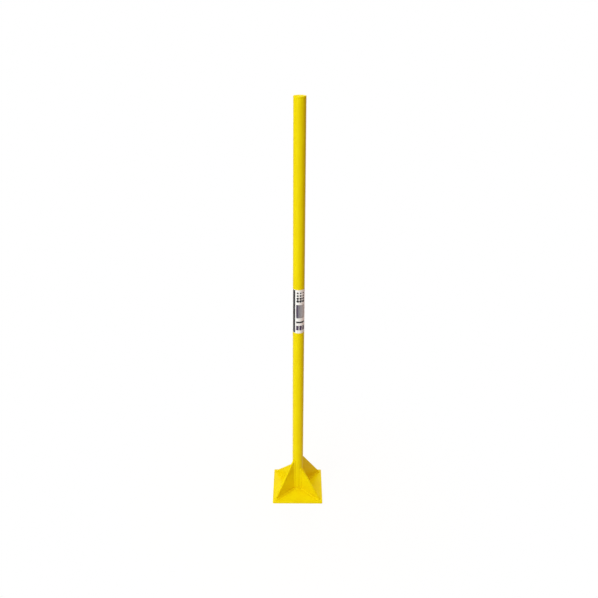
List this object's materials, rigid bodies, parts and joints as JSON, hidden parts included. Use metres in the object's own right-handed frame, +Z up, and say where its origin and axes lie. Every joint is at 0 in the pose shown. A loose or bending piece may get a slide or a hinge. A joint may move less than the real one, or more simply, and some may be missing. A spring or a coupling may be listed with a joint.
{
  "type": "hand tamper",
  "caption": "Welded steel hand tamper: square base plate, upright round tube handle closed by a disc, triangular gussets out to the corners, and a label round the tube.",
  "frame": {"origin": "centre of the plate's sole, where the tool stands on the ground", "axes": "+Z up along the tube, -Y to the front, where the label's face is, +X to the right seen from the front"},
  "size_m": [0.15, 0.15, 1.181],
  "materials": {
    "yellow_enamel": "gloss enamel over welded steel",
    "label_paper": "printed, lightly coated"
  },
  "bodies": {
    "root": {"base_plate": "yellow_enamel", "handle_tube": "yellow_enamel", "end_disc": "yellow_enamel", "end_disc_weld": "yellow_enamel", "gusset_front_left": "yellow_enamel", "gusset_front_right": "yellow_enamel", "gusset_back_right": "yellow_enamel", "gusset_back_left": "yellow_enamel", "foot_weld_front_left": "yellow_enamel", "foot_weld_front_right": "yellow_enamel", "foot_weld_back_right": "yellow_enamel", "foot_weld_back_left": "yellow_enamel", "shank_weld_front_left": "yellow_enamel", "shank_weld_front_right": "yellow_enamel", "shank_weld_back_right": "yellow_enamel", "shank_weld_back_left": "yellow_enamel", "tube_weld_front": "yellow_enamel", "tube_weld_right": "yellow_enamel", "tube_weld_back": "yellow_enamel", "tube_weld_left": "yellow_enamel", "label": "label_paper"}
  },
  "joints": []
}
